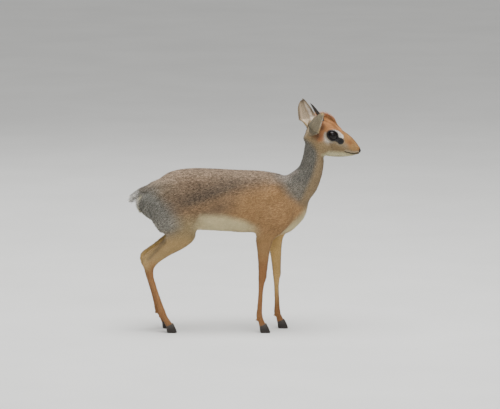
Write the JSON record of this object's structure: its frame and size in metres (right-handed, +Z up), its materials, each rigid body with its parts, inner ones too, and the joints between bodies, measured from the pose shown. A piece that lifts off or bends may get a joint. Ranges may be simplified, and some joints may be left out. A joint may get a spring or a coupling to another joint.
{
  "type": "dik-dik figure",
  "caption": "Still life-size model of a male dik-dik standing on four cloven hooves, head raised in profile, with a crest between short ringed horns.",
  "frame": {"origin": "on the floor, under the middle of the animal's bounding box", "axes": "+X towards the nose, +Y towards the animal's left side, +Z up from the soles"},
  "size_m": [0.5608, 0.1236, 0.5653],
  "materials": {
    "body_coat": "short grizzled grey-brown hair, orange-tan flanks and a pale belly",
    "head_coat": "short rust-orange hair with a raised crest and a white ring round each eye",
    "leg_coat": "very short rust-tan hair",
    "ear": "thin skin with very short grey-brown hair",
    "eye": "glossy black-brown",
    "horn": "black horn, satin",
    "hoof": "black horn, satin"
  },
  "bodies": {
    "root": {"ear_left": "ear", "ear_right": "ear", "eye_left": "eye", "eye_right": "eye", "foreleg_left_lower": "leg_coat", "foreleg_left_upper": "leg_coat", "foreleg_right_lower": "leg_coat", "foreleg_right_upper": "leg_coat", "head": "head_coat", "hindleg_left_lower": "leg_coat", "hindleg_left_upper": "leg_coat", "hindleg_right_lower": "leg_coat", "hindleg_right_upper": "leg_coat", "hoof_fore_left_inner": "hoof", "hoof_fore_left_outer": "hoof", "hoof_fore_right_inner": "hoof", "hoof_fore_right_outer": "hoof", "hoof_hind_left_inner": "hoof", "hoof_hind_left_outer": "hoof", "hoof_hind_right_inner": "hoof", "hoof_hind_right_outer": "hoof", "horn_left": "horn", "horn_right": "horn", "neck": "body_coat", "tail": "body_coat", "torso": "body_coat"}
  },
  "joints": []
}
